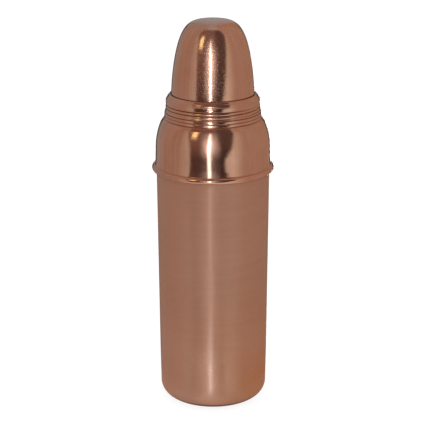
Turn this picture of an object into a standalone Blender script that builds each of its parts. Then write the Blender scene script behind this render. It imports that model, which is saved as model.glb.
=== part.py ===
"""Copper water bottle shaped like a vacuum flask, with a domed screw cap.

The frame's origin is the centre of the base on the surface that the bottle stands on, with +Z up along the
bottle's axis. Lengths are given in millimetres, and MM turns them into Blender's metres. Heights are taken
from the base, and each piece's mesh is drawn from its own datum height, where the piece is then placed.
"""

import math

import bmesh
import bpy

MM = 0.001

# Making
SEGMENTS = 40            # facets round each turned piece; a multiple of 4 puts corners on the X and Y axes
GAP = 0.3                # air left between pieces that touch
CLEARANCE = 0.05         # added round the axis, where facets bring the pieces closer
EDGE = 0.2               # size of a broken edge
SHEET = 0.8              # copper sheet of the bottle
CAP_SHEET = 0.6          # thinner sheet of the cap

# Body and base
BODY_TOP_RADIUS = 40.0   # outside of the tube, under the bead
BODY_LOW_RADIUS = 38.8   # outside of the tube at its lower edge
BASE_RADIUS = 38.35      # outside of the base cup above its corner
BASE_CORNER = 10.2       # round between the base and its wall
BASE_JOINT = 36.0        # height of the flush joint between base cup and tube
BASE_LAP = 5.0           # how far the cup reaches up inside the tube
STAND_RADIUS = 20.0      # inner edge of the flat ring that the bottle stands on
PUSH_UP = 1.6            # rise of the panel inside that ring
PUSH_UP_RADIUS = 17.5

# Shoulder and its rolled bead
BEAD_BOTTOM = 170.3
BEAD_ROUND = 2.1         # radius of the bead's section
BEAD_RADIUS = 43.2       # outermost radius of the bead
FLANGE_RISE = 1.6        # from the bead's bottom to the tube's flange inside it
FLANGE_TUCK = 1.35       # how far inside the bead's outermost radius the flange ends
SHOULDER_FOOT = 40.95    # radius of the shoulder's wall where it meets the bead
SHOULDER_RADIUS = 40.5   # where the shoulder starts to curve in
SHOULDER_BEND = 48.0     # radius of that curve
SHOULDER_BEND_BOTTOM = 186.5
SHOULDER_BEND_TOP = 205.9
SHOULDER_TOP = 212.5     # flat ledge that the cap closes on
LEDGE_RADIUS = 34.0      # the ledge's outer edge
RING_HEIGHT = 2.2        # each of the two small rings under the ledge
RING_STEP = 0.15         # how much wider the lower ring is
RING_GROOVE = 0.35       # depth of the groove under a ring
RING_EDGE = 0.5          # round at a ring's edges

# Neck, with a right-hand rolled thread
NECK_BORE = 30.0
NECK_RIM = 218.8
NECK_WALL = 31.0         # plain wall under the thread
NECK_FLANGE_RADIUS = 32.3
NECK_FLANGE = 0.9        # thickness of the flange under the shoulder's lip
THREAD_PITCH = 2.3
THREAD_WAVE = 0.4        # half of the thread's depth
THREAD_PHASE = 1.05      # height of a groove over the ledge, at the front (-Y)
THREAD_ROWS = 18
THREAD_RUN_OUT = 0.8     # height over which a thread fades at each end
NECK_THREAD_RADIUS = 31.6
NECK_THREAD = (213.0, 218.2)

# Cap
CAP_EDGE = SHOULDER_TOP + GAP
CAP_THREAD = (213.5, 218.9)
CAP_THREAD_RADIUS = 32.6  # middle of the thread's wave outside, at its upper end
CAP_THREAD_FLARE = 0.5    # how much wider the skirt is at the thread's lower end
CAP_HEM = 0.9             # width of the skirt's lower edge
CAP_BAND_RADIUS = 33.05   # plain band over the thread
CAP_BAND_TOP = 221.55     # a tiny ledge, under the sloping step
STEP_FOOT = 222.6         # lower end of the sloping step
STEP_FOOT_RADIUS = 32.5
COLLAR_TOP = 225.4
COLLAR_LIP_DEPTH = 2.4    # how far the collar's lip reaches down beside the dome
DOME_FOOT_RADIUS = 29.2
DOME_FOOT = 225.6         # where the dome leaves the collar
DOME_TOP = 277.0
DOME_LEAN = 1.5           # exponents of the dome's outline: a lower one leans its sides in sooner,
DOME_BLUNTNESS = 4.5      # and a higher one fills out its top
DOME_SPIGOT = 222.4       # lower edge of the dome's wall, inside the collar
DOME_ROWS = 14

# Washers between the neck's rim and the cap
WASHER_RADIUS = 31.0
GASKET_BORE = 27.8
GASKET_HEIGHT = 1.8
SEAT_BORE = 28.2
SEAT_HEIGHT = 0.8
GASKET_BOTTOM = NECK_RIM + GAP
SEAT_BOTTOM = GASKET_BOTTOM + GASKET_HEIGHT + GAP


def clear_scene():
    for obj in list(bpy.data.objects):
        bpy.data.objects.remove(obj, do_unlink=True)


def arc(centre, radius, start, end, count):
    """Points along an arc in the (radius, height) plane; angles in degrees from the outward direction."""
    points = []
    for i in range(count + 1):
        angle = math.radians(start + (end - start) * i / count)
        points.append((centre[0] + radius * math.cos(angle), centre[1] + radius * math.sin(angle)))
    return points


def material(name, colour, roughness, metallic):
    mat = bpy.data.materials.new(name)
    mat.use_nodes = True
    shader = mat.node_tree.nodes["Principled BSDF"]
    shader.inputs["Base Color"].default_value = (*colour, 1.0)
    shader.inputs["Roughness"].default_value = roughness
    shader.inputs["Metallic"].default_value = metallic
    return mat


def add_object(name, mesh, datum, parent, collection, mat):
    """Put a mesh, drawn from its datum height, on the bottle's axis under one of the frames."""
    mesh.materials.append(mat)
    mesh.shade_smooth()
    obj = bpy.data.objects.new(name, mesh)
    collection.objects.link(obj)
    obj.parent = parent
    obj.location = (0.0, 0.0, datum * MM - parent["height"])
    return obj


def frame(name, height, parent, collection):
    """An empty on the bottle's axis; the moving ones mark the joints that the cap comes off by."""
    empty = bpy.data.objects.new(name, None)
    empty.empty_display_size = 10 * MM
    empty.hide_render = True
    empty["height"] = height * MM
    collection.objects.link(empty)
    if parent is not None:
        empty.parent = parent
        empty.location = (0.0, 0.0, height * MM - parent["height"])
    return empty


def profile_mesh(name, points, datum, closed):
    """A profile at +X, running down its outer side."""
    mesh = bpy.data.meshes.new(name)
    verts = [(radius * MM, 0.0, (height - datum) * MM) for radius, height in points]
    edges = [(i, i + 1) for i in range(len(points) - 1)]
    if closed:
        edges.append((len(points) - 1, 0))
    mesh.from_pydata(verts, edges, [])
    return mesh


def add_screw(obj):
    screw = obj.modifiers.new("Turn", 'SCREW')
    screw.axis = 'Z'
    screw.angle = math.tau
    screw.steps = SEGMENTS
    screw.render_steps = SEGMENTS
    screw.use_merge_vertices = True
    screw.merge_threshold = 0.00002
    screw.use_smooth_shade = True


def turned_sheet(name, points, datum, thickness, parent, collection, mat):
    """Sheet metal turned round the axis: the points are its outer face, and the sheet grows inwards."""
    obj = add_object(name, profile_mesh(name, points, datum, False), datum, parent, collection, mat)
    add_screw(obj)
    sheet = obj.modifiers.new("Sheet", 'SOLIDIFY')
    sheet.thickness = thickness * MM
    sheet.offset = -1.0
    sheet.use_even_offset = True
    return obj


def turned_ring(name, points, datum, parent, collection, mat):
    """A solid ring: the points go down its outside and back up its bore."""
    obj = add_object(name, profile_mesh(name, points, datum, True), datum, parent, collection, mat)
    add_screw(obj)
    return obj


def smooth_step(value):
    value = min(max(value, 0.0), 1.0)
    return value * value * (3.0 - 2.0 * value)


def thread_strength(height, low, high):
    """1 along the thread, easing to 0 at both of its ends."""
    return smooth_step((height - low) / THREAD_RUN_OUT) * smooth_step((high - height) / THREAD_RUN_OUT)


def thread_wave(height, angle):
    """The thread's wave, -1 in a groove and 1 on a ridge; angle is counted from the front, to the right."""
    turns = (height - SHOULDER_TOP - THREAD_PHASE) / THREAD_PITCH - angle / math.tau
    return -math.cos(math.tau * turns)


def threaded_ring(name, section, datum, parent, collection, mat):
    """A ring whose section carries the thread's wave, so that it changes all the way round.

    Each section point is (radius, height, strength, side). side is +1 where the wave runs out on its ridges,
    which keeps a nut's thread open, -1 where it runs out in its grooves, and 0 on a plain wall.
    """
    mesh = bpy.data.meshes.new(name)
    bm = bmesh.new()
    rings = []
    for i in range(SEGMENTS):
        angle = math.tau * i / SEGMENTS
        ring = []
        for radius, height, strength, side in section:
            wave = THREAD_WAVE * (side * (1.0 - strength) + abs(side) * strength * thread_wave(height, angle))
            r = (radius + wave) * MM
            ring.append(bm.verts.new((r * math.sin(angle), -r * math.cos(angle), (height - datum) * MM)))
        rings.append(ring)
    count = len(section)
    for i in range(SEGMENTS):
        here = rings[i]
        after = rings[(i + 1) % SEGMENTS]
        for j in range(count):
            k = (j + 1) % count
            bm.faces.new((here[j], here[k], after[k], after[j]))
    bm.to_mesh(mesh)
    bm.free()
    return add_object(name, mesh, datum, parent, collection, mat)


def thread_heights(span):
    """Heights down a threaded wall."""
    low, high = span
    return [high + (low - high) * i / THREAD_ROWS for i in range(THREAD_ROWS + 1)]


def base_profile():
    lap_radius = BODY_LOW_RADIUS - SHEET - GAP
    points = [(lap_radius, BASE_JOINT + BASE_LAP), (lap_radius, BASE_JOINT)]
    points += [(BODY_LOW_RADIUS - EDGE, BASE_JOINT), (BODY_LOW_RADIUS, BASE_JOINT - EDGE)]
    points += arc((BASE_RADIUS - BASE_CORNER, BASE_CORNER), BASE_CORNER, 0, -90, 7)
    points += [(STAND_RADIUS, 0.0), (PUSH_UP_RADIUS, PUSH_UP), (0.0, PUSH_UP)]
    return points


def body_profile():
    """The tube, with its top edge turned out as a flange that the bead is rolled over."""
    flange = BEAD_BOTTOM + FLANGE_RISE
    return [
        (BEAD_RADIUS - FLANGE_TUCK, flange),
        (BODY_TOP_RADIUS + 3 * EDGE, flange),
        (BODY_TOP_RADIUS + EDGE, flange - EDGE),
        (BODY_TOP_RADIUS, flange - 3 * EDGE),
        (BODY_LOW_RADIUS, BASE_JOINT + GAP),
    ]


def shoulder_profile():
    """From the lip round the neck, over two small rings and the curved shoulder, to the bead's lower lip."""
    points = [(NECK_WALL + GAP + CLEARANCE, SHOULDER_TOP), (LEDGE_RADIUS - RING_EDGE, SHOULDER_TOP)]
    for i in range(2):
        radius = LEDGE_RADIUS + i * RING_STEP
        top = SHOULDER_TOP - i * RING_HEIGHT
        bottom = top - RING_HEIGHT
        points += [(radius, top - RING_EDGE), (radius, bottom + RING_EDGE), (radius - RING_GROOVE, bottom)]
    points.append((radius + RING_EDGE, bottom - RING_EDGE))
    bend_centre = (SHOULDER_RADIUS - SHOULDER_BEND, SHOULDER_BEND_BOTTOM)
    top_angle = math.degrees(math.asin((SHOULDER_BEND_TOP - SHOULDER_BEND_BOTTOM) / SHOULDER_BEND))
    points += arc(bend_centre, SHOULDER_BEND, top_angle, 0, 6)
    points.append((SHOULDER_FOOT, BEAD_BOTTOM + 2 * BEAD_ROUND + EDGE))
    bead_centre = (BEAD_RADIUS - BEAD_ROUND, BEAD_BOTTOM + BEAD_ROUND)
    points += arc(bead_centre, BEAD_ROUND, 80, -90, 7)
    points.append((BODY_TOP_RADIUS + GAP + CLEARANCE, BEAD_BOTTOM))
    return points


def neck_section():
    """The neck ring: its rim, its thread, and a flange that sits under the shoulder's lip."""
    section = [(NECK_BORE + EDGE, NECK_RIM, 0, 0), (NECK_THREAD_RADIUS - 3 * EDGE, NECK_RIM, 0, 0)]
    for height in thread_heights(NECK_THREAD):
        section.append((NECK_THREAD_RADIUS, height, thread_strength(height, *NECK_THREAD), -1))
    flange_top = SHOULDER_TOP - SHEET - GAP
    flange_bottom = flange_top - NECK_FLANGE
    section += [(NECK_WALL, SHOULDER_TOP, 0, 0), (NECK_WALL, flange_top, 0, 0)]
    section += [(NECK_FLANGE_RADIUS, flange_top, 0, 0), (NECK_FLANGE_RADIUS, flange_bottom, 0, 0)]
    section += [(NECK_BORE, flange_bottom, 0, 0), (NECK_BORE, NECK_RIM - EDGE, 0, 0)]
    return section


def skirt_radius(height):
    """Middle of the wave outside the cap's skirt, which opens slightly towards its edge."""
    low, high = CAP_THREAD
    return CAP_THREAD_RADIUS + CAP_THREAD_FLARE * (high - height) / (high - low)


def collar_section():
    """The cap's collar: a lip round the dome, a sloping step, a plain band, and the threaded skirt."""
    rows = thread_heights(CAP_THREAD)
    lip = DOME_FOOT_RADIUS + GAP + CLEARANCE
    band = CAP_BAND_RADIUS
    band_bottom = CAP_THREAD[1] + 2 * EDGE
    outside = [(lip, COLLAR_TOP - 2 * EDGE), (lip + EDGE, COLLAR_TOP), (lip + 5 * EDGE, COLLAR_TOP - EDGE)]
    outside += [(STEP_FOOT_RADIUS, STEP_FOOT), (STEP_FOOT_RADIUS + EDGE, CAP_BAND_TOP + EDGE)]
    outside += [(band, CAP_BAND_TOP), (band, band_bottom)]
    section = [(radius, height, 0, 0) for radius, height in outside]
    for height in rows:
        section.append((skirt_radius(height), height, thread_strength(height, *CAP_THREAD), 1))
    hem = skirt_radius(CAP_EDGE) + THREAD_WAVE + EDGE
    section += [(hem, CAP_EDGE + 2 * EDGE, 0, 0), (hem, CAP_EDGE + EDGE, 0, 0), (hem - EDGE, CAP_EDGE, 0, 0)]
    section += [(hem - CAP_HEM, CAP_EDGE, 0, 0)]
    for height in reversed(rows):
        inner = skirt_radius(height) - CAP_SHEET
        section.append((inner, height, thread_strength(height, *CAP_THREAD), 1))
    inside = [(band - CAP_SHEET, band_bottom), (band - CAP_SHEET, CAP_BAND_TOP - 2 * EDGE)]
    inside += [(STEP_FOOT_RADIUS - 2 * EDGE, CAP_BAND_TOP), (STEP_FOOT_RADIUS - CAP_SHEET, STEP_FOOT - EDGE)]
    lip_inside = lip + CAP_SHEET
    lip_bottom = COLLAR_TOP - COLLAR_LIP_DEPTH
    inside += [(lip_inside, COLLAR_TOP - CAP_SHEET - EDGE), (lip_inside, lip_bottom), (lip, lip_bottom)]
    section += [(radius, height, 0, 0) for radius, height in inside]
    return section


def dome_radius(rise):
    """Radius of the dome at a fraction of its height: a blunt round top over gently leaning sides."""
    return DOME_FOOT_RADIUS * (1.0 - rise ** DOME_LEAN) ** (1.0 / DOME_BLUNTNESS)


def dome_profile():
    points = []
    for i in range(DOME_ROWS + 1):
        rise = math.cos(0.5 * math.pi * i / DOME_ROWS) ** 0.8
        points.append((dome_radius(rise), DOME_FOOT + (DOME_TOP - DOME_FOOT) * rise))
    points.append((DOME_FOOT_RADIUS, DOME_SPIGOT))
    return points


def washer_profile(outer, bore, bottom, height, chamfer):
    top = bottom + height
    return [
        (bore + chamfer, top), (outer - chamfer, top), (outer, top - chamfer), (outer, bottom + chamfer),
        (outer - chamfer, bottom), (bore + chamfer, bottom), (bore, bottom + chamfer), (bore, top - chamfer),
    ]


def build():
    clear_scene()
    parts = bpy.data.collections.new("copper_water_bottle")
    bpy.context.scene.collection.children.link(parts)

    satin = material("satin_copper", (0.62, 0.30, 0.20), 0.38, 1.0)
    polished = material("polished_copper", (0.72, 0.36, 0.24), 0.12, 1.0)
    brass = material("seat_brass", (0.72, 0.55, 0.28), 0.3, 1.0)
    silicone = material("gasket_silicone", (0.80, 0.79, 0.75), 0.6, 0.0)

    bottle = frame("bottle_frame", 0.0, None, parts)
    lift_off = frame("cap_lift_off_frame", NECK_RIM, bottle, parts)
    thread_lift = frame("cap_thread_lift_frame", NECK_RIM, lift_off, parts)
    cap_turn = frame("cap_turn_frame", CAP_EDGE, thread_lift, parts)

    turned_sheet("base_cup", base_profile(), 0.0, SHEET, bottle, parts, satin)
    turned_sheet("body_wall", body_profile(), BASE_JOINT + GAP, SHEET, bottle, parts, satin)
    turned_sheet("shoulder_shell", shoulder_profile(), BEAD_BOTTOM, SHEET, bottle, parts, polished)
    threaded_ring("neck_ring", neck_section(), SHOULDER_TOP, bottle, parts, polished)

    gasket = washer_profile(WASHER_RADIUS, GASKET_BORE, GASKET_BOTTOM, GASKET_HEIGHT, 0.4)
    turned_ring("cap_gasket", gasket, GASKET_BOTTOM, lift_off, parts, silicone)
    seat = washer_profile(WASHER_RADIUS, SEAT_BORE, SEAT_BOTTOM, SEAT_HEIGHT, 0.15)
    turned_ring("cap_seat_ring", seat, SEAT_BOTTOM, thread_lift, parts, brass)

    threaded_ring("cap_collar", collar_section(), CAP_EDGE, cap_turn, parts, polished)
    turned_sheet("cap_dome", dome_profile(), DOME_SPIGOT, CAP_SHEET, cap_turn, parts, polished)


build()
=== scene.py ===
"""Looks of the copper water bottle: fine turned shells, a rolled thread, and polished and satin copper.

The pieces' sizes are in millimetres, and MM turns them into metres. Heights and outer sizes come from the
frame's boxes. The materials, the floor and the camera are in metres.
"""

import math

import bpy
import bmesh
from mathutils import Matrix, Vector

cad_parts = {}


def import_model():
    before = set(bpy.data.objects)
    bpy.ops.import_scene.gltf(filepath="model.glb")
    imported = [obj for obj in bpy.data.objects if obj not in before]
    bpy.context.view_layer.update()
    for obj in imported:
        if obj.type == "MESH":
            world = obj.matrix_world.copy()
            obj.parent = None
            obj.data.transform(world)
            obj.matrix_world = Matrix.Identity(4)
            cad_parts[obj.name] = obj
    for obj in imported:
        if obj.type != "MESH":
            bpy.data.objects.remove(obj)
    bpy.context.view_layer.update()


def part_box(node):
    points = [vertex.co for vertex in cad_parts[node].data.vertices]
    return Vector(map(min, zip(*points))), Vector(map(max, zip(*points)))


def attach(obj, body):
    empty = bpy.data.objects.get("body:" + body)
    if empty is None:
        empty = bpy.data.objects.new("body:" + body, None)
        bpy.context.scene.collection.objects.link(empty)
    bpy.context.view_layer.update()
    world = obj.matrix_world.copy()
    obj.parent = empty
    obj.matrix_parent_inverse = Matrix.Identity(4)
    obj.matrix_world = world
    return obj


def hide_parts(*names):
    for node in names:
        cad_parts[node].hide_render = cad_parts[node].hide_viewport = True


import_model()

MM = 0.001
SIDES = 192              # facets round each turned piece
SHARP = 50.0             # an edge that turns by more degrees than this isn't smoothed
ON_AXIS = 1e-6           # a smaller radius than this is on the axis
SHEET = 0.8              # the bottle's copper sheet
CAP_SHEET = 0.6          # the cap's sheet
SEAM = 0.02              # air left where one soldered piece meets the next

# The thread: right-handed, rolled into the sheet
PITCH = 2.3
WAVE = 0.4               # half of the thread's depth
ROWS_PER_PITCH = 26      # rows of facets over one turn's rise
CRISP = 0.8              # under 1 the grooves are narrower than the ridges
PHASE = 1.05             # a groove's height over the shoulder's ledge, at the front


# ---------------------------------------------------------------- sizes from the frame

def size_of(name):
    """(outer radius, lowest height, highest height) of a CAD node, in millimetres."""
    low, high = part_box(name)
    return high.x / MM, low.z / MM, high.z / MM


BEAD_RADIUS, BEAD_BOTTOM, LEDGE = size_of("shoulder_shell")
FLANGE_RADIUS, BASE_JOINT, FLANGE_TOP = size_of("body_wall")
BASE_RADIUS, FLOOR_HEIGHT, LAP_TOP = size_of("base_cup")
NECK_RADIUS, NECK_BOTTOM, RIM = size_of("neck_ring")
HEM_RADIUS, CAP_EDGE, COLLAR_TOP = size_of("cap_collar")
DOME_RADIUS, SPIGOT, DOME_TOP = size_of("cap_dome")
GASKET_RADIUS, GASKET_BOTTOM, GASKET_TOP = size_of("cap_gasket")
SEAT_RADIUS, SEAT_BOTTOM, SEAT_TOP = size_of("cap_seat_ring")

# The base cup and the tube
BASE_WALL_RADIUS = 38.35     # the base's wall over its corner
BASE_CORNER = 10.2
STAND_OUTSIDE = 28.0         # outer radius of the flat ring that the bottle stands on
STAND_INSIDE = 20.0
PUSH_UP_RADIUS = 17.5        # the pushed-up panel inside that ring
PUSH_UP = 1.6
BODY_TOP_RADIUS = 40.0       # the tube's wall under the bead
BODY_ROWS = 30

# The shoulder
BEAD_ROUND = 2.1             # radius of the bead's section
SHOULDER_FOOT = 40.95        # radius of the wall where it meets the bead
SHOULDER_RADIUS = 40.5       # where the shoulder starts to curve in
SHOULDER_BEND = 48.0         # radius of that curve
SHOULDER_BEND_BOTTOM = 186.5
SHOULDER_BEND_TURN = 22.2    # degrees that the curve turns
LEDGE_RADIUS = 34.0

# The neck and the cap
NECK_WALL = 31.0             # plain wall under the thread
NECK_BORE = 30.0
NECK_THREAD_RADIUS = 31.6    # middle of the thread's wave
NECK_RUN_OUT = 0.7           # height over which the thread fades at each end
CAP_THREAD_RADIUS = 32.6
CAP_THREAD_FLARE = 0.5       # how much wider the skirt is at the thread's lower end
CAP_RUN_OUT = 0.8
CAP_HEM = 0.9                # width of the skirt's lower edge
BAND_RADIUS = 33.05          # plain band over the thread
DOME_FOOT = COLLAR_TOP + 0.2
DOME_ROWS = 96
DOME_ROW_BIAS = 0.8          # under 1 the rows lie closer at the top
DOME_LEAN = 1.5              # exponents of the dome's outline: a lower one leans its sides in sooner,
DOME_BLUNTNESS = 4.5         # and a higher one fills out its top
GASKET_BORE = 27.8
SEAT_BORE = 28.2


# ---------------------------------------------------------------- outlines

def arc(centre, radius, start, end, count):
    """Points along an arc in the (radius, height) plane; angles in degrees from the outward direction."""
    points = []
    for i in range(count + 1):
        angle = math.radians(start + (end - start) * i / count)
        points.append(Vector((centre[0] + radius * math.cos(angle), centre[1] + radius * math.sin(angle))))
    return points


def fillet(corners, steps=6):
    """A path through (radius, height, round) corners, rounded to their radius as far as their sides allow."""
    path = []
    for i, (r, z, rounding) in enumerate(corners):
        here = Vector((r, z))
        if rounding <= 0 or i in (0, len(corners) - 1):
            path.append(here)
            continue
        before = Vector(corners[i - 1][:2]) - here
        after = Vector(corners[i + 1][:2]) - here
        half = before.angle(after) / 2
        reach = min(rounding / math.tan(half), 0.48 * before.length, 0.48 * after.length)
        start = here + before.normalized() * reach
        end = here + after.normalized() * reach
        for k in range(steps + 1):
            t = k / steps
            path.append(start * (1 - t) ** 2 + here * 2 * t * (1 - t) + end * t ** 2)
    return path


def offset(path, distance):
    """The path moved to its inner side by the sheet's thickness."""
    moved = []
    for i, point in enumerate(path):
        before = point - path[i - 1] if i else path[1] - point
        after = path[i + 1] - point if i < len(path) - 1 else before
        normals = [Vector((d.y, -d.x)).normalized() for d in (before, after) if d.length > 1e-9]
        normal = sum(normals, Vector((0, 0))).normalized()
        stretch = 1.0 / max(normal.dot(normals[0]), 0.7)
        moved.append(point + normal * distance * stretch)
    for end in (0, -1):
        if path[end].x < ON_AXIS:
            moved[end].x = 0.0
    return moved


def sheet_section(path, thickness):
    """A closed section: down the outer face, round the edge, and back up the inner face."""
    return path + list(reversed(offset(path, thickness)))


# ---------------------------------------------------------------- meshes

def linked_object(name, data):
    """An object for a mesh or a camera, put into the scene."""
    obj = bpy.data.objects.new(name, data)
    bpy.context.scene.collection.objects.link(obj)
    return obj


def rings_round(bm, section, radius_at):
    """The section's vertices at each step round the axis; a point on the axis has one vertex for them all."""
    poles = {}
    for j, point in enumerate(section):
        if point[0] < ON_AXIS:
            poles[j] = bm.verts.new((0, 0, point[1] * MM))
    rings = []
    for i in range(SIDES):
        angle = math.tau * i / SIDES
        ring = []
        for j, point in enumerate(section):
            if j in poles:
                ring.append(poles[j])
                continue
            r = (radius_at(j, angle) if radius_at else point[0]) * MM
            ring.append(bm.verts.new((r * math.sin(angle), -r * math.cos(angle), point[1] * MM)))
        rings.append(ring)
    return rings


def turned(name, section, radius_at=None):
    """A closed (radius, height) section turned round the bottle's axis, in the row frame.

    radius_at(point index, angle) gives the radius where the section changes on its way round.
    """
    bm = bmesh.new()
    rings = rings_round(bm, section, radius_at)
    for i, here in enumerate(rings):
        after = rings[(i + 1) % SIDES]
        for j in range(len(section)):
            k = (j + 1) % len(section)
            corners = [here[j], here[k], after[k], after[j]]
            corners = [v for n, v in enumerate(corners) if v is not corners[n - 1]]
            if len(corners) > 2:
                bm.faces.new(corners)
    bmesh.ops.recalc_face_normals(bm, faces=bm.faces)
    mesh = bpy.data.meshes.new(name)
    bm.to_mesh(mesh)
    bm.free()
    mesh.shade_smooth()
    mesh.set_sharp_from_angle(angle=math.radians(SHARP))
    return linked_object(name, mesh)


def smooth_step(value):
    value = min(max(value, 0.0), 1.0)
    return value * value * (3.0 - 2.0 * value)


def thread_strength(height, low, high, run_out):
    """1 along the thread, fading to 0 over the run-out at each end."""
    return smooth_step((height - low) / run_out) * smooth_step((high - height) / run_out)


def thread_turns(height, angle):
    """Turns of the thread from its groove at the front to this height, less the part turn to this angle."""
    return (height - LEDGE - PHASE) / PITCH - angle / math.tau


def soft_wave(turns):
    """-1 in a groove and 1 on a ridge, as the sheet's hidden side has it."""
    return -math.cos(math.tau * turns)


def crisp_wave(turns):
    """Round ridges with narrow grooves between them, as the rolled face has it."""
    return 2.0 * abs(math.sin(math.pi * turns)) ** CRISP - 1.0


def thread_heights(span):
    """Heights of the thread's rows, from the top down."""
    low, high = span
    count = round((high - low) / PITCH * ROWS_PER_PITCH)
    return [high + (low - high) * i / count for i in range(count + 1)]


def threaded(name, section):
    """A turned piece whose (radius, height, strength, side, wave) points carry the thread's wave."""
    def radius_at(index, angle):
        radius, height, strength, side, wave = section[index]
        if wave is None:
            return radius
        return radius + WAVE * (side * (1.0 - strength) + strength * wave(thread_turns(height, angle)))
    return turned(name, section, radius_at)


def plain(path):
    """The path's points as a threaded section has them, with no thread on them."""
    return [(point[0], point[1], 0.0, 0, None) for point in path]


# ---------------------------------------------------------------- the pieces

def base_cup():
    lap = BASE_WALL_RADIUS - SHEET - 0.35
    joint = BASE_JOINT - SEAM
    stand = FLOOR_HEIGHT
    corner = stand + BASE_CORNER
    path = fillet([(lap, LAP_TOP, 0), (lap, joint, 0.1), (BASE_RADIUS - 0.04, joint, 0),
                   (BASE_RADIUS, BASE_JOINT - 0.2, 0), (BASE_WALL_RADIUS, corner, 0)])
    path += arc((BASE_WALL_RADIUS - BASE_CORNER, corner), BASE_CORNER, -2, -88, 24)
    path += fillet([(STAND_OUTSIDE, stand, 0), (STAND_INSIDE, stand, 2.0),
                    (PUSH_UP_RADIUS, stand + PUSH_UP, 2.0), (0.0, stand + PUSH_UP, 0)])
    return turned("base_cup_copper", sheet_section(path, SHEET))


def body_wall():
    flange = FLANGE_TOP - SHEET
    top = BODY_TOP_RADIUS
    wall_top = flange - 1.0
    path = fillet([(FLANGE_RADIUS, flange, 0), (top + 0.4, flange, 0.6), (top, wall_top, 0.8)])
    for i in range(1, BODY_ROWS + 1):
        t = i / BODY_ROWS
        path.append(Vector((top + (BASE_RADIUS - top) * t, wall_top + (BASE_JOINT - wall_top) * t)))
    return turned("body_wall_copper", sheet_section(path, SHEET))


def small_rings():
    """The ledge and the two small rings under it, down to the top of the shoulder's curve."""
    edge = LEDGE_RADIUS
    return fillet([(NECK_WALL + 0.25, LEDGE, 0), (edge, LEDGE, 0.5), (edge + 0.1, LEDGE - 1.7, 0.4),
                   (edge - 0.35, LEDGE - 2.2, 0.12), (edge + 0.15, LEDGE - 2.7, 0.4),
                   (edge + 0.35, LEDGE - 4.0, 0.4), (edge + 0.1, LEDGE - 4.4, 0.12),
                   (edge + 0.95, LEDGE - 4.8, 0.3), (edge + 2.45, LEDGE - 6.9, 1.2),
                   (edge + 3.0, LEDGE - 8.1, 0)])


def shoulder_shell():
    path = small_rings()
    bend_centre = (SHOULDER_RADIUS - SHOULDER_BEND, SHOULDER_BEND_BOTTOM)
    path += arc(bend_centre, SHOULDER_BEND, SHOULDER_BEND_TURN, 0, 40)
    bead_top = BEAD_BOTTOM + 2 * BEAD_ROUND
    path += fillet([(SHOULDER_RADIUS, SHOULDER_BEND_BOTTOM - 0.5, 0),
                    (SHOULDER_FOOT - 0.25, bead_top + 4.0, 6.0), (SHOULDER_FOOT, bead_top + 0.1, 0.8),
                    (BEAD_RADIUS - 1.6, bead_top - 0.05, 0)], 10)
    path += arc((BEAD_RADIUS - BEAD_ROUND, BEAD_BOTTOM + BEAD_ROUND), BEAD_ROUND, 70, -88, 24)
    path.append(Vector((BODY_TOP_RADIUS + SEAM, BEAD_BOTTOM + SEAM)))
    return turned("shoulder_copper", sheet_section(path, SHEET))


def neck_ring():
    span = (LEDGE + 0.5, RIM - 0.6)
    mean = NECK_THREAD_RADIUS
    section = plain(fillet([(NECK_BORE, RIM - 0.8, 0), (NECK_BORE, RIM, 0.35), (mean - 0.6, RIM, 0.3),
                            (mean - 0.4, RIM - 0.5, 0)]))
    for height in thread_heights(span):
        section.append((mean, height, thread_strength(height, *span, NECK_RUN_OUT), -1, soft_wave))
    under = LEDGE - SHEET - 0.05
    section += plain([(NECK_WALL, LEDGE), (NECK_WALL, under), (NECK_RADIUS, under),
                      (NECK_RADIUS, NECK_BOTTOM), (NECK_BORE, NECK_BOTTOM)])
    return threaded("neck_ring_copper", section)


def collar_outside(lip, thread_top):
    """The lip round the dome, the sloping step and the plain band, down to the thread."""
    band = BAND_RADIUS
    return fillet([(lip, DOME_FOOT - 0.85, 0), (lip + 0.25, DOME_FOOT - 0.85, 0.1),
                   (lip + 0.85, DOME_FOOT - 0.25, 0.4), (lip + 1.5, DOME_FOOT - 0.6, 0.4),
                   (band - 0.65, DOME_FOOT - 3.1, 0.6), (band - 0.55, DOME_FOOT - 3.65, 0.15),
                   (band - 0.02, DOME_FOOT - 3.95, 0.5), (band, thread_top + 0.5, 0)])


def collar_inside(lip, thread_top):
    """The collar's inner face, from the thread up to the dome's spigot."""
    band = BAND_RADIUS
    return [(band - CAP_SHEET, thread_top + 0.5), (band - CAP_SHEET, DOME_FOOT - 4.1),
            (band - 0.85, DOME_FOOT - 2.9), (band - 1.3, DOME_FOOT - 1.85),
            (lip + CAP_SHEET, DOME_FOOT - 0.75), (lip + CAP_SHEET, SPIGOT + 0.6), (lip, SPIGOT + 0.6)]


def cap_collar():
    span = (LEDGE + 1.0, LEDGE + 6.4)
    lip = DOME_RADIUS + SEAM

    def skirt(height):
        return CAP_THREAD_RADIUS + CAP_THREAD_FLARE * (span[1] - height) / (span[1] - span[0])

    def row(height, thickness, wave):
        return skirt(height) - thickness, height, thread_strength(height, *span, CAP_RUN_OUT), 1, wave

    rows = thread_heights(span)
    section = plain(collar_outside(lip, span[1]))
    section += [row(height, 0.0, crisp_wave) for height in rows]
    hem = HEM_RADIUS
    section += plain(fillet([(hem - 0.1, CAP_EDGE + 0.55, 0), (hem, CAP_EDGE + 0.3, 0.2),
                             (hem - 0.05, CAP_EDGE, 0.25), (hem - CAP_HEM, CAP_EDGE, 0)], 4))
    section += [row(height, CAP_SHEET, soft_wave) for height in reversed(rows)]
    section += plain(collar_inside(lip, span[1]))
    return threaded("cap_collar_copper", section)


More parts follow.
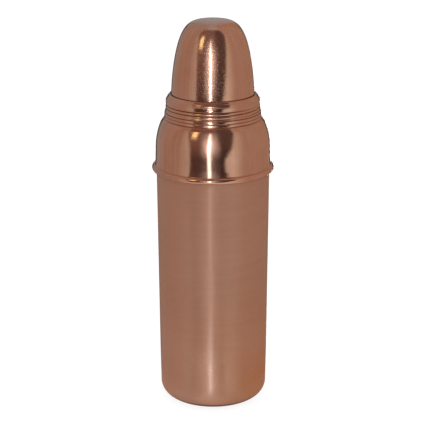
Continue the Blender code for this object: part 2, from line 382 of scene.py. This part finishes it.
def cap_dome():
    path = []
    for i in range(DOME_ROWS + 1):
        rise = math.cos(0.5 * math.pi * i / DOME_ROWS) ** DOME_ROW_BIAS
        radius = DOME_RADIUS * (1.0 - rise ** DOME_LEAN) ** (1.0 / DOME_BLUNTNESS)
        path.append(Vector((radius, DOME_FOOT + (DOME_TOP - DOME_FOOT) * rise)))
    path.append(Vector((DOME_RADIUS, SPIGOT)))
    return turned("cap_dome_copper", sheet_section(path, CAP_SHEET))


def washer(name, outer, bore, bottom, top, rounding):
    height = (bottom + top) / 2
    section = fillet([(outer, height, 0), (outer, bottom, rounding), (bore, bottom, rounding),
                      (bore, top, rounding), (outer, top, rounding), (outer, height, 0)])
    return turned(name, section[:-1])


# ---------------------------------------------------------------- shader nodes

def node(tree, kind, inputs=None, **settings):
    """A shader node, with its inputs set to values or linked to other nodes' outputs."""
    new = tree.nodes.new(kind)
    for key, value in settings.items():
        setattr(new, key, value)
    for key, value in (inputs or {}).items():
        if isinstance(value, bpy.types.NodeSocket):
            tree.links.new(value, new.inputs[key])
        else:
            new.inputs[key].default_value = value
    return new


def grain(tree, stretch, scale, detail=3.0, roughness=0.55):
    """Noise in the piece's own coordinates, stretched along or round the bottle."""
    coords = node(tree, "ShaderNodeTexCoord").outputs["Object"]
    mapped = node(tree, "ShaderNodeMapping", {"Vector": coords, "Scale": stretch}).outputs["Vector"]
    inputs = {"Vector": mapped, "Scale": scale, "Detail": detail, "Roughness": roughness}
    return node(tree, "ShaderNodeTexNoise", inputs).outputs["Fac"]


def place(tree):
    """The X, Y and Z outputs of the piece's own coordinates, in metres."""
    coords = node(tree, "ShaderNodeTexCoord").outputs["Object"]
    return node(tree, "ShaderNodeSeparateXYZ", {"Vector": coords}).outputs


def ramp(tree, factor, stops):
    """A colour ramp with (position, colour) stops."""
    new = node(tree, "ShaderNodeValToRGB", {"Fac": factor})
    elements = new.color_ramp.elements
    while len(elements) > 1:
        elements.remove(elements[-1])
    for i, (position, colour) in enumerate(stops):
        element = elements[0] if i == 0 else elements.new(position)
        element.position = position
        element.color = (*colour, 1.0)
    return new.outputs["Color"]


def mottled(tree, noise, dark, light):
    """The colour between dark and light that the noise picks."""
    return ramp(tree, noise, [(0.3, dark), (0.7, light)])


def map_range(tree, value, low, high, out_low, out_high, smooth=False):
    kind = 'SMOOTHSTEP' if smooth else 'LINEAR'
    inputs = {"Value": value, "From Min": low, "From Max": high, "To Min": out_low, "To Max": out_high}
    return node(tree, "ShaderNodeMapRange", inputs, interpolation_type=kind).outputs["Result"]


def maths(tree, operation, first, second=0.0):
    return node(tree, "ShaderNodeMath", {0: first, 1: second}, operation=operation).outputs[0]


def add(tree, first, second):
    return maths(tree, 'ADD', first, second)


def multiply(tree, first, second):
    return maths(tree, 'MULTIPLY', first, second)


def scale_colour(tree, colour, factor):
    """The colour made lighter or darker by a factor."""
    inputs = {0: colour, "Scale": factor}
    return node(tree, "ShaderNodeVectorMath", inputs, operation='SCALE').outputs["Vector"]


def blend_colour(tree, factor, first, second):
    """The first colour where the factor is 0 and the second where it is 1."""
    inputs = {"Factor": factor, "A": first, "B": second}
    return node(tree, "ShaderNodeMix", inputs, data_type='RGBA').outputs[2]


def paint(tree, colour, mask, over):
    """The colour, with a plain one over it where the mask is 1."""
    return blend_colour(tree, mask, colour, (*over, 1.0))


def new_material(name, metallic, **sockets):
    mat = bpy.data.materials.new(name)
    mat.use_nodes = True
    shader = mat.node_tree.nodes["Principled BSDF"]
    shader.inputs["Metallic"].default_value = metallic
    for key, value in sockets.items():
        shader.inputs[key.replace("_", " ")].default_value = value
    return mat, mat.node_tree, shader


def bump(tree, shader, layers):
    """Stack bump layers of (height, strength, depth in metres) on to the shader's normal."""
    normal = None
    for height, strength, depth in layers:
        inputs = {"Height": height, "Strength": strength, "Distance": depth}
        if normal is not None:
            inputs["Normal"] = normal
        normal = node(tree, "ShaderNodeBump", inputs).outputs["Normal"]
    tree.links.new(normal, shader.inputs["Normal"])


def creases(tree, reach):
    """Painted shade from ambient occlusion: 0 deep in a crease or a groove, where shade falls and where
    polish and oxide stay, and 1 on open faces.
    """
    occlusion = node(tree, "ShaderNodeAmbientOcclusion", {"Distance": reach}, samples=12)
    return map_range(tree, occlusion.outputs["AO"], 0.50, 0.92, 0.0, 1.0, True)


# ---------------------------------------------------------------- materials

CREASE_SHADE_BROWN = (0.34, 0.125, 0.07)           # painted shade in creases and under the bead, with old polish and oxide
CORNER_SHADE_BROWN = (0.12, 0.05, 0.035)             # painted shade on the base's down-facing corner
POLISHED_DARK = (0.89, 0.51, 0.37)
POLISHED_LIGHT = (0.94, 0.59, 0.45)
SATIN_DARK = (0.545, 0.281, 0.186)
SATIN_LIGHT = (0.575, 0.305, 0.206)
BURNISHED = (0.70, 0.37, 0.235)
PAINTED_HIGHLIGHT = (0.86, 0.50, 0.36)                  # painted highlight, low on the front
ORANGE_TINT = (0.60, 0.245, 0.105)
SILICONE_DARK = (0.74, 0.73, 0.69)
SILICONE_LIGHT = (0.82, 0.81, 0.77)
BRASS_DARK = (0.72, 0.55, 0.28)
BRASS_LIGHT = (0.80, 0.62, 0.34)

# Where the copper changes from one look to another, in metres: heights, X to the right and -Y to the front
HAZE_HEIGHTS = (0.224, 0.232)
BURNISH_HEIGHTS = (0.082, 0.030)
# Where the painted highlight lies: its heights and its front
PAINTED_HIGHLIGHT_HEIGHTS = (0.052, 0.028)
PAINTED_HIGHLIGHT_FRONT = (-0.0388, -0.0345)
TINT_HEIGHTS = (0.11, 0.01)
TINT_SIDE = (-0.01, 0.03)
COAT_FRONT = (-0.034, -0.010)
RAGGED = 0.006                               # how far the edge of the burnishing wanders up and down
CORNER_FACING = (-0.58, -0.72)               # how far the base's corner faces down, as its normal's Z
FLAT_FACING = (-0.955, -0.99)


def polished_roughness(tree, pits, open_face):
    """Fine haze over clear metal, hazier on the cap's dome, and dull in pits and creases."""
    haze = grain(tree, (1, 1, 1), 3400, 1)
    haziest = map_range(tree, place(tree)["Z"], *HAZE_HEIGHTS, 0.18, 0.27, True)
    rough = map_range(tree, haze, 0.44, 0.66, 0.05, haziest)
    rough = add(tree, rough, map_range(tree, pits, 0.45, 0.70, 0.0, 0.07))
    return add(tree, rough, map_range(tree, open_face, 0.0, 1.0, 0.2, 0.0))


def polished_copper():
    """Spun copper, polished by hand: soft dents, small pits and fine scratches round it."""
    mat, tree, shader = new_material("polished_copper_fine", 1.0)
    # Painted shade: the colour turns brown in creases and grooves, with old polish and oxide there too
    open_face = creases(tree, 0.0014)
    colour = mottled(tree, grain(tree, (1, 1, 1), 60, 5), POLISHED_DARK, POLISHED_LIGHT)
    colour = blend_colour(tree, open_face, (*CREASE_SHADE_BROWN, 1.0), colour)
    tree.links.new(colour, shader.inputs["Base Color"])
    pits = grain(tree, (1, 1, 1.6), 620, 2)
    tree.links.new(polished_roughness(tree, pits, open_face), shader.inputs["Roughness"])
    dents = grain(tree, (1, 1, 0.3), 70, 1)
    scratches = grain(tree, (1, 1, 40), 110, 5, 0.7)
    bump(tree, shader, [(dents, 1.0, 0.00025), (pits, 1.0, 0.00002), (scratches, 1.0, 0.00002)])
    return mat


def orange_tint(tree, axes):
    """Patches of reddish tint, low down and mostly on the right."""
    low = map_range(tree, axes["Z"], *TINT_HEIGHTS, 0.0, 1.0, True)
    side = map_range(tree, axes["X"], *TINT_SIDE, 0.2, 1.0, True)
    patches = map_range(tree, grain(tree, (1, 1, 0.7), 42, 3), 0.40, 0.62, 0.55, 1.0, True)
    return multiply(tree, multiply(tree, low, side), patches)


def corner_shade_band(tree):
    """Painted shade on the base's round corner, which faces down, and only faintly on the flat faces inside
    it.
    """
    normal = node(tree, "ShaderNodeNewGeometry").outputs["Normal"]
    facing = node(tree, "ShaderNodeSeparateXYZ", {"Vector": normal}).outputs["Z"]
    under = map_range(tree, facing, *CORNER_FACING, 0.0, 1.0, True)
    not_flat = map_range(tree, facing, *FLAT_FACING, 1.0, 0.2, True)
    return multiply(tree, under, not_flat)


def satin_colour(tree, axes, ragged_height, burnished):
    """Mottled copper, paler where it is burnished, with a tint, a painted highlight low on the front, painted
    shade on the base's corner, and brown creases that are painted shade with oxide in them.
    """
    colour = mottled(tree, grain(tree, (1, 1, 0.6), 30, 4), SATIN_DARK, SATIN_LIGHT)
    colour = paint(tree, colour, multiply(tree, burnished, 0.35), BURNISHED)
    # Painted highlight: paler copper low on the front, where the highlight runs
    low = map_range(tree, ragged_height, *PAINTED_HIGHLIGHT_HEIGHTS, 0.0, 0.6, True)
    painted_highlight_mask = multiply(tree, low, map_range(tree, axes["Y"], *PAINTED_HIGHLIGHT_FRONT, 1.0, 0.0, True))
    colour = paint(tree, colour, painted_highlight_mask, PAINTED_HIGHLIGHT)
    # A reddish-orange tint, low down and mostly on the right
    colour = paint(tree, colour, orange_tint(tree, axes), ORANGE_TINT)
    # Painted shade: dark brown on the base's corner where it faces down
    colour = paint(tree, colour, corner_shade_band(tree), CORNER_SHADE_BROWN)
    # Painted shade: brown in creases, under the bead and where the base meets the floor, with oxide in the
    # grooves
    return blend_colour(tree, creases(tree, 0.005), (*CREASE_SHADE_BROWN, 1.0), colour)


def satin_roughness(tree, burnished):
    """Rough and smooth grains side by side, in faint bands; burnishing makes the smoothest ones smoother."""
    haze = grain(tree, (1, 1, 2), 4000, 1)
    bands = grain(tree, (1, 1, 10), 26, 3, 0.6)
    rough = map_range(tree, haze, 0.40, 0.62, 0.38, 0.78)
    rough = add(tree, rough, map_range(tree, bands, 0.3, 0.7, -0.07, 0.07))
    duller = add(tree, haze, map_range(tree, burnished, 0.0, 1.0, 0.25, 0.0))
    return maths(tree, 'SUBTRACT', rough, map_range(tree, duller, 0.36, 0.41, 0.18, 0.0))


def satin_copper():
    """Brushed round the body, and burnished smoother towards the base, with a little orange tint."""
    mat, tree, shader = new_material("satin_copper_fine", 0.78, Anisotropic=0.3, Anisotropic_Rotation=0.25,
                                     Coat_IOR=1.9, Coat_Roughness=0.19)
    axes = place(tree)
    ragged = map_range(tree, grain(tree, (1, 1, 0.4), 26, 0), 0.3, 0.7, -RAGGED, RAGGED)
    ragged_height = add(tree, axes["Z"], ragged)
    burnished = map_range(tree, ragged_height, *BURNISH_HEIGHTS, 0.0, 1.0, True)
    tree.links.new(satin_colour(tree, axes, ragged_height, burnished), shader.inputs["Base Color"])
    tree.links.new(satin_roughness(tree, burnished), shader.inputs["Roughness"])
    front = map_range(tree, axes["Y"], *COAT_FRONT, 1.0, 0.15, True)
    coat = multiply(tree, map_range(tree, burnished, 0.0, 1.0, 0.30, 1.0), front)
    tree.links.new(coat, shader.inputs["Coat Weight"])
    brushing = grain(tree, (1, 1, 40), 60, 3, 0.6)
    upright = maths(tree, 'SUBTRACT', grain(tree, (1, 1, 0.02), 700, 2), 0.5)
    strokes = multiply(tree, upright, burnished)
    bump(tree, shader, [(brushing, 1.0, 0.000005), (strokes, 1.0, 0.00005)])
    return mat


def silicone():
    """Pale soft silicone for the gasket."""
    mat, tree, shader = new_material("silicone_fine", 0.0, Roughness=0.55)
    mottle = grain(tree, (1, 1, 1), 300, 3)
    tree.links.new(mottled(tree, mottle, SILICONE_DARK, SILICONE_LIGHT), shader.inputs["Base Color"])
    bump(tree, shader, [(mottle, 0.1, 0.0001)])
    return mat


def brass():
    """Turned brass for the seat ring."""
    mat, tree, shader = new_material("seat_brass_fine", 1.0)
    turning = grain(tree, (1, 1, 1), 200, 3)
    tree.links.new(mottled(tree, turning, BRASS_DARK, BRASS_LIGHT), shader.inputs["Base Color"])
    tree.links.new(map_range(tree, turning, 0.3, 0.7, 0.25, 0.35), shader.inputs["Roughness"])
    bump(tree, shader, [(turning, 0.1, 0.00005)])
    return mat


# ---------------------------------------------------------------- the bottle

def finish_piece(piece, body, node_name, mat):
    piece.data.materials.append(mat)
    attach(piece, body)
    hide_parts(node_name)


def make_bottle():
    satin = satin_copper()
    polished = polished_copper()
    finish_piece(base_cup(), "bottle", "base_cup", satin)
    finish_piece(body_wall(), "bottle", "body_wall", satin)
    finish_piece(shoulder_shell(), "bottle", "shoulder_shell", polished)
    finish_piece(neck_ring(), "bottle", "neck_ring", polished)
    gasket = washer("cap_gasket_silicone", GASKET_RADIUS, GASKET_BORE, GASKET_BOTTOM, GASKET_TOP, 0.5)
    finish_piece(gasket, "gasket", "cap_gasket", silicone())
    seat = washer("cap_seat_brass", SEAT_RADIUS, SEAT_BORE, SEAT_BOTTOM, SEAT_TOP, 0.2)
    finish_piece(seat, "seat", "cap_seat_ring", brass())
    finish_piece(cap_collar(), "cap", "cap_collar", polished)
    finish_piece(cap_dome(), "cap", "cap_dome", polished)


# ---------------------------------------------------------------- floor

FLOOR_HALF = 6.0
FLOOR_COLOUR = (0.2, 0.2, 0.2)
FLOOR_GLOW = 0.85         # its own light, so that it stays pale all over
BOARD_RADIUS = 0.065
BOARD_COLOUR = (0.45, 0.37, 0.32)
BOARD_HEIGHT = 0.0002
BOARD_CORNERS = 96


def ground(name, height, outline, colour, glow):
    """A flat matt sheet that also gives some light of its own."""
    mesh = bpy.data.meshes.new(name)
    mesh.from_pydata([(x, y, height) for x, y in outline], [], [range(len(outline))])
    obj = linked_object(name, mesh)
    mat, _, shader = new_material(name + "_matt", 0.0, Roughness=0.9)
    shader.inputs["Base Color"].default_value = (*colour, 1.0)
    shader.inputs["Emission Color"].default_value = (1.0, 1.0, 1.0, 1.0)
    shader.inputs["Emission Strength"].default_value = glow
    mesh.materials.append(mat)
    return obj


def floor():
    """A wide floor for the camera, and the small round board on it that the metal mirrors."""
    half = FLOOR_HALF
    square = [(-half, -half), (half, -half), (half, half), (-half, half)]
    wide = ground("floor", 0.0, square, FLOOR_COLOUR, FLOOR_GLOW)
    wide.visible_glossy = False
    angles = [math.tau * i / BOARD_CORNERS for i in range(BOARD_CORNERS)]
    outline = [(BOARD_RADIUS * math.cos(angle), BOARD_RADIUS * math.sin(angle)) for angle in angles]
    board = ground("board", BOARD_HEIGHT, outline, BOARD_COLOUR, 0.0)
    board.visible_camera = False
    board.visible_diffuse = False
    board.visible_shadow = False


# ---------------------------------------------------------------- light

# What the copper mirrors is a light tent, by direction in degrees: azimuth from the front, positive to the
# right, and elevation. The tent has two warm walls with soft folds and a dark opening at the front. In the
# opening are a strip lamp, with a glow round it, and a small warm lamp. Behind the bottle is a grey back with
# a dark corner on each side, and low on it a thin lamp that lights the right-hand edges.
LEFT_FAR = (0.29, 0.27, 0.26)
LEFT_WALL = (0.33, 0.235, 0.195)
LEFT_BORDER = (0.42, 0.36, 0.31)
RIGHT_BORDER = (0.56, 0.52, 0.46)
RIGHT_WALL = (0.36, 0.26, 0.215)
RIGHT_FAR = (0.34, 0.235, 0.175)
WALL_STOPS = [(-140, LEFT_FAR), (-105, LEFT_WALL), (-70, LEFT_WALL), (-56, LEFT_BORDER),
              (42, RIGHT_BORDER), (62, RIGHT_WALL), (100, RIGHT_WALL), (140, RIGHT_FAR)]
FOLD_WIDTH = 7.0          # degrees of azimuth
FOLD_LENGTH = 90.0        # degrees of elevation
FOLD_DEPTH = 0.12         # how much the folds change the walls' tone
OPENING_LEFT = (0.11, 0.060, 0.050)
OPENING_MIDDLE = (0.11, 0.075, 0.068)
OPENING_RIGHT = (0.052, 0.032, 0.029)
OPENING_STOPS = [(-38, OPENING_LEFT), (-16, OPENING_MIDDLE), (8, OPENING_MIDDLE), (18, OPENING_RIGHT)]
STRIP_LAMP = (8.2, 8.5, 8.6)
STRIP_GLOW = 0.11         # the glow round the strip lamp, as a part of its light
LOW_GLOW = 0.07           # the same for the glow below the opening, which is there for the satin copper
WARM_LAMP = (1.5, 1.35, 0.75)
BACK_TONE = (0.31, 0.32, 0.34)
BACK_DARK = (0.06, 0.045, 0.04)
TOP_TONE = (0.36, 0.34, 0.33)
GROUND_TONE = (0.62, 0.55, 0.50)
SOFT_WHITE = (1.06, 1.06, 1.06)

# Patches of the tent: (low, high, blur) in azimuth, and the same in elevation
STRIP_GLOW_SPAN = (-18.3, 4.7, 20.0)
LOW_GLOW_PATCH = ((-16.0, 3.0, 14.0), (-46.0, -20.0, 5.0))
WARM_PATCH = ((-47.0, -36.0, 2.0), (21.0, 43.0, 4.0))
THIN_PATCH = ((171.0, 174.5, 1.2), (-40.0, -10.0, 4.0))
OPENING_BLUR = 2.0
OPENING_SPAN = (-26.0, 78.0, 4.0)


def past(tree, value, edge, blur):
    """0 below the edge and 1 above it, blurred over a width."""
    return map_range(tree, maths(tree, 'SUBTRACT', value, edge), -blur / 2, blur / 2, 0.0, 1.0, True)


def opposite(tree, mask):
    return maths(tree, 'SUBTRACT', 1.0, mask)


def between(tree, value, low, high, blur):
    """1 between low and high, and 0 outside them."""
    return multiply(tree, past(tree, value, low, blur), opposite(tree, past(tree, value, high, blur)))


def patch(tree, azimuth, elevation, across, upward):
    """1 on a patch of the tent, with across in azimuth and upward in elevation."""
    return multiply(tree, between(tree, azimuth, *across), between(tree, elevation, *upward))


def by_azimuth(tree, azimuth, stops):
    """The colour at an azimuth, from (degrees, colour) stops."""
    position = map_range(tree, azimuth, -180.0, 180.0, 0.0, 1.0)
    return ramp(tree, position, [((degrees + 180) / 360, colour) for degrees, colour in stops])


def direction_angles(tree):
    """(azimuth, elevation) of the direction that a ray leaves in."""
    direction = node(tree, "ShaderNodeTexCoord").outputs["Generated"]
    axes = node(tree, "ShaderNodeSeparateXYZ", {"Vector": direction}).outputs
    turn = maths(tree, 'ARCTAN2', axes["X"], multiply(tree, axes["Y"], -1.0))
    rise = maths(tree, 'ARCSINE', axes["Z"])
    return multiply(tree, turn, math.degrees(1.0)), multiply(tree, rise, math.degrees(1.0))


def tent_walls(tree, azimuth, elevation):
    """The walls' tone by azimuth, lighter and darker with their folds."""
    across = maths(tree, 'DIVIDE', azimuth, FOLD_WIDTH)
    along = maths(tree, 'DIVIDE', elevation, FOLD_LENGTH)
    fold_place = node(tree, "ShaderNodeCombineXYZ", {"X": across, "Y": along}).outputs["Vector"]
    inputs = {"Vector": fold_place, "Scale": 1.0, "Detail": 1.0}
    folds = node(tree, "ShaderNodeTexNoise", inputs).outputs["Fac"]
    shade = map_range(tree, folds, 0.3, 0.7, 1.0 - FOLD_DEPTH, 1.0 + FOLD_DEPTH)
    return scale_colour(tree, by_azimuth(tree, azimuth, WALL_STOPS), shade)


def opening_mask(tree, azimuth, elevation):
    """1 inside the opening, which leans out upwards and closes to a round top."""
    rounding = map_range(tree, elevation, 66.0, 82.0, 0.0, 26.0, True)
    left_edge = add(tree, map_range(tree, elevation, 5.0, 52.0, -47.0, -66.0), rounding)
    right_low = map_range(tree, elevation, -14.0, 4.0, 23.5, 38.5)
    right_high = map_range(tree, elevation, 4.0, 48.0, 0.0, 15.0)
    right_edge = maths(tree, 'SUBTRACT', add(tree, right_low, right_high), rounding)
    return patch(tree, azimuth, elevation, (left_edge, right_edge, OPENING_BLUR), OPENING_SPAN)


def opening_tone(tree, azimuth, elevation):
    """The opening's dark tone by azimuth, lighter towards its top."""
    shade = map_range(tree, elevation, -14.0, 14.0, 0.6, 1.6)
    return scale_colour(tree, by_azimuth(tree, azimuth, OPENING_STOPS), shade)


def add_front_lamps(tree, tone, opened, azimuth, elevation):
    """The strip lamp, its glow inside and below the opening, and the small warm lamp."""
    fade = map_range(tree, elevation, 8.0, 46.0, 1.0, 0.0, True)
    lit = multiply(tree, opened, fade)
    glow = multiply(tree, lit, between(tree, azimuth, *STRIP_GLOW_SPAN))
    level = multiply(tree, fade, map_range(tree, elevation, -18.0, 14.0, 0.0, STRIP_GLOW, True))
    tone = paint(tree, tone, multiply(tree, glow, level), STRIP_LAMP)
    low_glow = multiply(tree, patch(tree, azimuth, elevation, *LOW_GLOW_PATCH), LOW_GLOW)
    tone = paint(tree, tone, low_glow, STRIP_LAMP)
    strip_edge = map_range(tree, elevation, -14.0, 6.0, -6.9, -7.7)
    strip = multiply(tree, lit, between(tree, azimuth, strip_edge, -5.2, 1.2))
    tone = paint(tree, tone, strip, STRIP_LAMP)
    return paint(tree, tone, patch(tree, azimuth, elevation, *WARM_PATCH), WARM_LAMP)


def add_back(tree, tone, azimuth, elevation):
    """The dark corners behind the bottle, the grey back between them and its thin lamp."""
    away = maths(tree, 'ABSOLUTE', azimuth)
    corner = multiply(tree, past(tree, away, 155.0, 5.0), opposite(tree, past(tree, elevation, 12.0, 8.0)))
    tone = paint(tree, tone, corner, BACK_DARK)
    tone = paint(tree, tone, past(tree, away, 168.0, 6.0), BACK_TONE)
    return paint(tree, tone, patch(tree, azimuth, elevation, *THIN_PATCH), STRIP_LAMP)


def tent(tree):
    """The tent's light by direction, from its walls to its top and the ground."""
    azimuth, elevation = direction_angles(tree)
    opened = opening_mask(tree, azimuth, elevation)
    walls = tent_walls(tree, azimuth, elevation)
    tone = blend_colour(tree, opened, walls, opening_tone(tree, azimuth, elevation))
    tone = add_front_lamps(tree, tone, opened, azimuth, elevation)
    tone = add_back(tree, tone, azimuth, elevation)
    tone = paint(tree, tone, past(tree, elevation, 78.0, 14.0), TOP_TONE)
    return blend_colour(tree, past(tree, elevation, -58.0, 6.0), (*GROUND_TONE, 1.0), tone)


def world():
    """White for the camera and the floor; shiny metal sees the tent."""
    made = bpy.data.worlds.new("studio")
    bpy.context.scene.world = made
    made.use_nodes = True
    tree = made.node_tree
    tree.nodes.clear()
    paths = node(tree, "ShaderNodeLightPath").outputs
    seen = blend_colour(tree, paths["Is Glossy Ray"], (*SOFT_WHITE, 1.0), tent(tree))
    background = node(tree, "ShaderNodeBackground", {"Color": seen, "Strength": 1.0})
    output = node(tree, "ShaderNodeOutputWorld", {"Surface": background.outputs[0]})
    output.is_active_output = True


# ---------------------------------------------------------------- camera

LENS = 126.9
SENSOR = 36.0
DISTANCE = 1.0256         # from the bottle's axis, measured level
DOWNWARD = 17.11          # degrees
ROLL = 0.1                # degrees
TARGET = (-0.0004, 0.0, 0.1378)


def camera():
    """A long lens, looking down on the bottle from the front."""
    data = bpy.data.cameras.new("camera")
    data.lens = LENS
    data.sensor_width = SENSOR
    obj = linked_object("camera", data)
    tilt = math.radians(DOWNWARD)
    roll = math.radians(ROLL)
    obj.location = Vector(TARGET) + Vector((0.0, -DISTANCE, DISTANCE * math.tan(tilt)))
    obj.rotation_euler = (math.radians(90) - tilt, roll * math.cos(tilt), -roll * math.sin(tilt))
    bpy.context.scene.camera = obj


make_bottle()
floor()
world()
camera()
bpy.context.scene.view_settings.view_transform = 'Standard'
